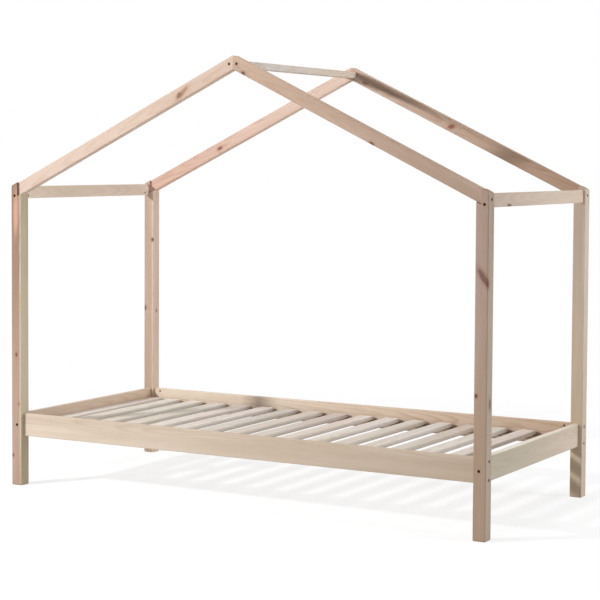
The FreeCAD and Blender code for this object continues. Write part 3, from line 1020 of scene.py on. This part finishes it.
@dataclass
class Hardware:
    """The bolts, nuts, inserts and dowels that hold the bed together."""

    bolts: tuple[str, ...] = (
        "rail_bolts", "end_board_bolts", "eave_bolts", "rafter_bolts", "ridge_bolts"
    )
    nuts: tuple[str, ...] = (
        "rail_nuts", "end_board_nuts", "eave_nuts", "ridge_nuts", "rafter_inserts"
    )
    dowels: tuple[str, ...] = ("end_board_dowels", "eave_dowels")
    browned: SteelFinish = SteelFinish("browned_steel", (92, 64, 44), (58, 40, 28), 0.34, 0.52)
    zinc: SteelFinish = SteelFinish("zinc_plated_steel", (112, 104, 96), (80, 72, 64), 0.32, 0.5)
    beech_start: Triple = (206, 168, 132)
    beech_end: Triple = (200, 160, 126)
    beech_ring: float = 1.2
    beech_seed: float = 60.0

    def dress(self, frame: dict, effects: Effects) -> None:
        """Give the fasteners their steel and the dowels their beech.

        Args:
            frame: The loaded frame.
            effects: The shared node groups.
        """
        for names, steel in ((self.bolts, self.browned), (self.nuts, self.zinc)):
            finish = steel.make(effects)
            for name in names:
                put_finish(frame["nodes"][name], finish)
                LOG.info("%s: %s", name, finish.name)
        for count, name in enumerate(self.dowels):
            beech = PineBoard(
                name, Grain.ACROSS_BED, self.beech_start, self.beech_end,
                ring=self.beech_ring, seed=self.beech_seed + count,
            )
            put_finish(frame["nodes"][name], beech.make(effects))
            LOG.info("%s: beech", name)


@dataclass(frozen=True)
class PanHead:
    """A screw's domed head with a cross recess, in millimetres and degrees.

    The shoulder, the crown and the recess's floor are shares of what they narrow from.
    """

    radius: float = 4.0
    rim: float = 0.4
    height: float = 2.0
    shoulder_wide: float = 0.88
    shoulder_high: float = 0.68
    crown_wide: float = 0.62
    arm_reach: float = 1.95
    arm_corner: float = 0.66
    arm_angles: Triple = (-15.0, 15.0, 45.0)
    recess: float = 1.5
    recess_floor: float = 0.6
    sharp_angle: float = 35.0

    def profile(self) -> list[list[Pair]]:
        """List the head's rings from its underside to the floor of its recess.

        Returns:
            For each ring, the radius and height at the three angles of an arm.
        """
        floor = self.height - self.recess
        return [
            [(self.radius, 0.0)] * 3,
            [(self.radius, self.rim)] * 3,
            [(self.radius * self.shoulder_wide, self.height * self.shoulder_high)] * 3,
            [(self.radius * self.crown_wide, self.height)] * 3,
            [(self.arm_reach, self.height)] * 2 + [(self.arm_corner, self.height)],
            [(self.arm_reach * self.recess_floor, floor)] * 2 + [(self.arm_corner, floor)],
        ]

    def build(self) -> Object:
        """Turn the head's outline and sink its recess, with the head facing up.

        Returns:
            The head's object, which isn't part of the scene.
        """
        shape = bmesh.new()
        loops = []
        for ring in self.profile():
            loop = []
            for quarter in range(4):
                for (radius, height), angle in zip(ring, self.arm_angles):
                    turn = math.radians(90 * quarter + angle)
                    corner = (radius * MM * math.cos(turn), radius * MM * math.sin(turn))
                    loop.append(shape.verts.new((*corner, height * MM)))
            loops.append(loop)
        for lower, upper in zip(loops, loops[1:]):
            for index in range(len(lower)):
                after = (index + 1) % len(lower)
                shape.faces.new((lower[index], lower[after], upper[after], upper[index]))
        shape.faces.new(loops[-1])
        shape.faces.new(list(reversed(loops[0])))
        for face in shape.faces:
            face.smooth = True
        mesh = bpy.data.meshes.new("pan_head")
        shape.to_mesh(mesh)
        shape.free()
        mesh.set_sharp_from_angle(angle=math.radians(self.sharp_angle))
        return bpy.data.objects.new("pan_head", mesh)


@dataclass(frozen=True)
class ScrewRow:
    """One straight row of screws, in millimetres, with the turn of its heads in degrees.

    A lone screw stands outside the row's even step.
    """

    name: str
    first: Triple
    step: float
    count: int
    turn: Triple = (0.0, 0.0, 0.0)
    lone: Triple | None = None


@dataclass
class ScrewRows:
    """The screws through the slats and through the ledges that carry them."""

    head: PanHead = PanHead()
    finish: SteelFinish = SteelFinish(
        "yellow_zinc_steel", (214, 196, 150), (178, 158, 116), 0.26, 0.44
    )
    seed: int = 5
    rows: tuple[ScrewRow, ...] = (
        ScrewRow("slat_screws_front", (-887.5, -446, 256), 122.5, 16, lone=(-982.5, -446, 256)),
        ScrewRow("slat_screws_back", (-887.5, 446, 256), 122.5, 16, lone=(-982.5, 446, 256)),
        ScrewRow("ledge_screws_front", (-826.25, -439, 225), 245.0, 8, (-90, 0, 0)),
        ScrewRow("ledge_screws_back", (-826.25, 439, 225), 245.0, 8, (90, 0, 0)),
    )

    def make_tree(self) -> Tree:
        """Build the geometry tree that sets a head on every point of a row.

        Returns:
            The tree, with the row's sizes as its named inputs.
        """
        tree = bpy.data.node_groups.new("screw_row", "GeometryNodeTree")
        sockets = {
            "NodeSocketObject": ("Head",),
            VECTOR: ("First", "Step", "Lone Place", "Turn"),
            "NodeSocketInt": ("Count", "Lone Count", "Seed"),
            "NodeSocketMaterial": ("Finish",),
        }
        add_inputs(tree, sockets)
        tree.interface.new_socket("Screws", in_out="OUTPUT", socket_type="NodeSocketGeometry")
        net = Wiring(tree)
        given = net.node("NodeGroupInput").outputs
        points = net.node("GeometryNodeJoinGeometry")
        for start, count in (("First", "Count"), ("Lone Place", "Lone Count")):
            sizes = {"Start Location": given[start], "Offset": given["Step"], "Count": given[count]}
            line = net.node("GeometryNodeMeshLine", sizes)
            net.feed(points.inputs[0], line.outputs[0])
        head = net.node("GeometryNodeObjectInfo", {"Object": given["Head"]})
        setting = {
            "Points": points.outputs[0],
            "Instance": head.outputs["Geometry"],
            "Rotation": given["Turn"],
        }
        placed = net.node("GeometryNodeInstanceOnPoints", setting)
        # Input 1 is the largest value of the chosen data type.
        turns = {1: (0.0, 0.0, math.tau), "Seed": given["Seed"]}
        drive = net.node("FunctionNodeRandomValue", turns, data_type="FLOAT_VECTOR")
        turning = {"Instances": placed.outputs[0], "Rotation": drive.outputs[0]}
        driven = net.node("GeometryNodeRotateInstances", turning)
        real = net.node("GeometryNodeRealizeInstances", (driven.outputs[0],))
        dress = {"Geometry": real.outputs[0], "Material": given["Finish"]}
        dressed = net.node("GeometryNodeSetMaterial", dress)
        net.node("NodeGroupOutput", {"Screws": dressed.outputs[0]})
        return tree

    def build(self, effects: Effects) -> None:
        """Drive every row of screws.

        Args:
            effects: The shared node groups.
        """
        tree, head, finish = self.make_tree(), self.head.build(), self.finish.make(effects)
        for count, row in enumerate(self.rows):
            values = {
                "Head": head,
                "First": [value * MM for value in row.first],
                "Step": (row.step * MM, 0.0, 0.0),
                "Count": row.count,
                "Lone Place": [value * MM for value in row.lone or row.first],
                "Lone Count": 1 if row.lone else 0,
                "Turn": [math.radians(angle) for angle in row.turn],
                "Seed": self.seed + count,
                "Finish": finish,
            }
            piece = grow(row.name, tree, values)
            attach(piece, "root")
            LOG.info("%s: %d pan-head screws", row.name, row.count + values["Lone Count"])


def grow(name: str, tree: Tree, values: dict[str, object]) -> Object:
    """Run a geometry tree and keep its result as a plain mesh.

    Args:
        name: The new piece's name.
        tree: The geometry tree.
        values: What goes into its inputs, by their names.

    Returns:
        The piece, with no modifier left on it.
    """
    maker = add_object(f"{name}_maker", bpy.data.meshes.new(f"{name}_maker"))
    modifier = maker.modifiers.new("rule", "NODES")
    modifier.node_group = tree
    for socket in tree.interface.items_tree:
        if socket.in_out == "INPUT":
            modifier[socket.identifier] = values[socket.name]
    bpy.context.view_layer.update()
    seen = maker.evaluated_get(bpy.context.evaluated_depsgraph_get())
    mesh = bpy.data.meshes.new_from_object(seen)
    mesh.name = name
    bpy.data.objects.remove(maker)
    return add_object(name, mesh)


# ---------- camera and light


@dataclass(frozen=True)
class StudioCamera:
    """The photograph's camera: a level view from beside the bed's front right corner.

    Places are in metres, angles in degrees, and the sensor in millimetres.
    """

    place: Triple = (3.4780, -6.1566, 1.3417)
    yaw: float = 30.162
    pitch: float = -2.946
    roll: float = 0.293
    focal_pixels: float = 1752.1
    centre_pixels: Pair = (275.0, 250.0)
    frame_pixels: float = 600.0
    sensor: float = 36.0
    reach: float = 100.0

    def build(self) -> None:
        """Create the camera and make it the scene's own."""
        data = bpy.data.cameras.new("studio_camera")
        data.sensor_width = self.sensor
        data.lens = self.focal_pixels / self.frame_pixels * self.sensor
        half = self.frame_pixels / 2
        data.shift_x = (half - self.centre_pixels[0]) / self.frame_pixels
        data.shift_y = (self.centre_pixels[1] - half) / self.frame_pixels
        data.clip_end = self.reach
        camera = add_object("studio_camera", data)
        turn = Matrix.Rotation(math.radians(self.yaw), 4, "Z")
        tilt = Matrix.Rotation(math.radians(90 + self.pitch), 4, "X")
        lean = Matrix.Rotation(math.radians(self.roll), 4, "Z")
        camera.matrix_world = Matrix.Translation(Vector(self.place)) @ turn @ tilt @ lean
        bpy.context.scene.camera = camera


@dataclass(frozen=True)
class SoftLamp:
    """A softbox that looks at a point, with its width level and its height across that.

    Places and sizes are in metres, and the power in watts.
    """

    name: str
    place: Triple
    target: Triple
    size: Pair
    power: float
    colour: Triple = (1.0, 1.0, 1.0)

    def build(self) -> None:
        """Hang the lamp and turn it to its target."""
        data = bpy.data.lights.new(self.name, "AREA")
        data.shape = "RECTANGLE"
        data.size, data.size_y = self.size
        data.energy = self.power
        data.color = self.colour
        lamp = add_object(self.name, data)
        lamp.visible_camera = False
        place = Vector(self.place)
        look = (Vector(self.target) - place).to_track_quat("-Z", "Y")
        lamp.matrix_world = Matrix.Translation(place) @ look.to_matrix().to_4x4()


@dataclass(frozen=True)
class Studio:
    """The white room: a floor that fades into the background, and its soft light.

    Lengths are in metres. The floor lights the bed as a pale paint does, and shows the camera
    its shadow grey with a glow that lifts it to white.
    """

    floor_side: float = 60.0
    floor_paint: Colour = (0.8, 0.8, 0.8, 1.0)
    shadow_grey: Colour = (0.34, 0.34, 0.34, 1.0)
    shadow_glow: float = 0.74
    shadow_reach: float = 1.6
    ambient: float = 0.28
    lamps: tuple[SoftLamp, ...] = (
        SoftLamp("key_softbox", (-3.4, -4.33, 2.93), (0.0, 0.0, 0.8), (0.36, 0.36), 258.0),
        SoftLamp(
            "side_softbox", (9.5, 2.5, 1.3), (0.3, 0.0, 0.8), (2.7, 2.7), 480.0,
            (0.93, 0.97, 1.0),
        ),
        SoftLamp("top_softbox", (0.0, 0.2, 5.0), (0.0, 0.2, 0.3), (3.0, 3.0), 80.0),
    )

    def build(self) -> None:
        """Lay the floor, light the room and set how colours are shown."""
        bpy.context.scene.view_settings.view_transform = "Standard"
        self.light_room()
        self.lay_floor()
        for lamp in self.lamps:
            lamp.build()

    def seen_rays(self, net: Wiring) -> Socket:
        """Say which rays see the white background rather than take light from it.

        Args:
            net: The wiring of the world or of the floor.

        Returns:
            The mask's socket.
        """
        path = net.node("ShaderNodeLightPath").outputs
        seen = net.calc("MAXIMUM", path["Is Camera Ray"], path["Is Glossy Ray"])
        return net.calc("MAXIMUM", seen, path["Is Transmission Ray"])

    def light_room(self) -> None:
        """Give the world its even light and its white look."""
        world = bpy.data.worlds.new("white_room")
        world.use_nodes = True
        world.node_tree.nodes.clear()
        net = Wiring(world.node_tree)
        light, white = (
            net.node("ShaderNodeBackground", {"Color": WHITE, "Strength": strength})
            for strength in (self.ambient, 1.0)
        )
        room = net.either(self.seen_rays(net), light, white)
        net.show(room, "ShaderNodeOutputWorld")
        bpy.context.scene.world = world

    def lay_floor(self) -> None:
        """Lay the pale floor, which shows white but keeps the bed's shadow."""
        half = self.floor_side / 2
        mesh = bpy.data.meshes.new("floor")
        corners = [(-half, -half, 0), (half, -half, 0), (half, half, 0), (-half, half, 0)]
        mesh.from_pydata(corners, [], [(0, 1, 2, 3)])
        floor = add_object("floor", mesh)
        mesh.materials.append(self.paint_floor())

    def paint_floor(self) -> Material:
        """Build the floor's material.

        Returns:
            The material.
        """
        material, net = open_material("pale_floor")
        paint = net.node("ShaderNodeBsdfDiffuse", {"Color": self.floor_paint})
        shadow = net.node("ShaderNodeBsdfDiffuse", {"Color": self.shadow_grey})
        glow = net.node("ShaderNodeEmission", {"Color": WHITE, "Strength": self.shadow_glow})
        shown = net.node("ShaderNodeAddShader", (shadow.outputs[0], glow.outputs[0]))
        away = net.aim("LENGTH", net.node("ShaderNodeTexCoord").outputs["Object"])
        fade = net.ease(away, self.shadow_reach, self.shadow_reach * 2)
        faded = net.either(fade, shown, net.node("ShaderNodeEmission"))
        net.show(net.either(self.seen_rays(net), paint, faded))
        return material


def main() -> None:
    """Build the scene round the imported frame."""
    logging.basicConfig(level=logging.INFO, format="%(name)s: %(message)s")
    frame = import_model()
    StudioCamera().build()
    Studio().build()
    effects = Effects()
    Timber().dress(frame, effects)
    Hardware().dress(frame, effects)
    ScrewRows().build(effects)


if __name__ == "__main__":
    main()
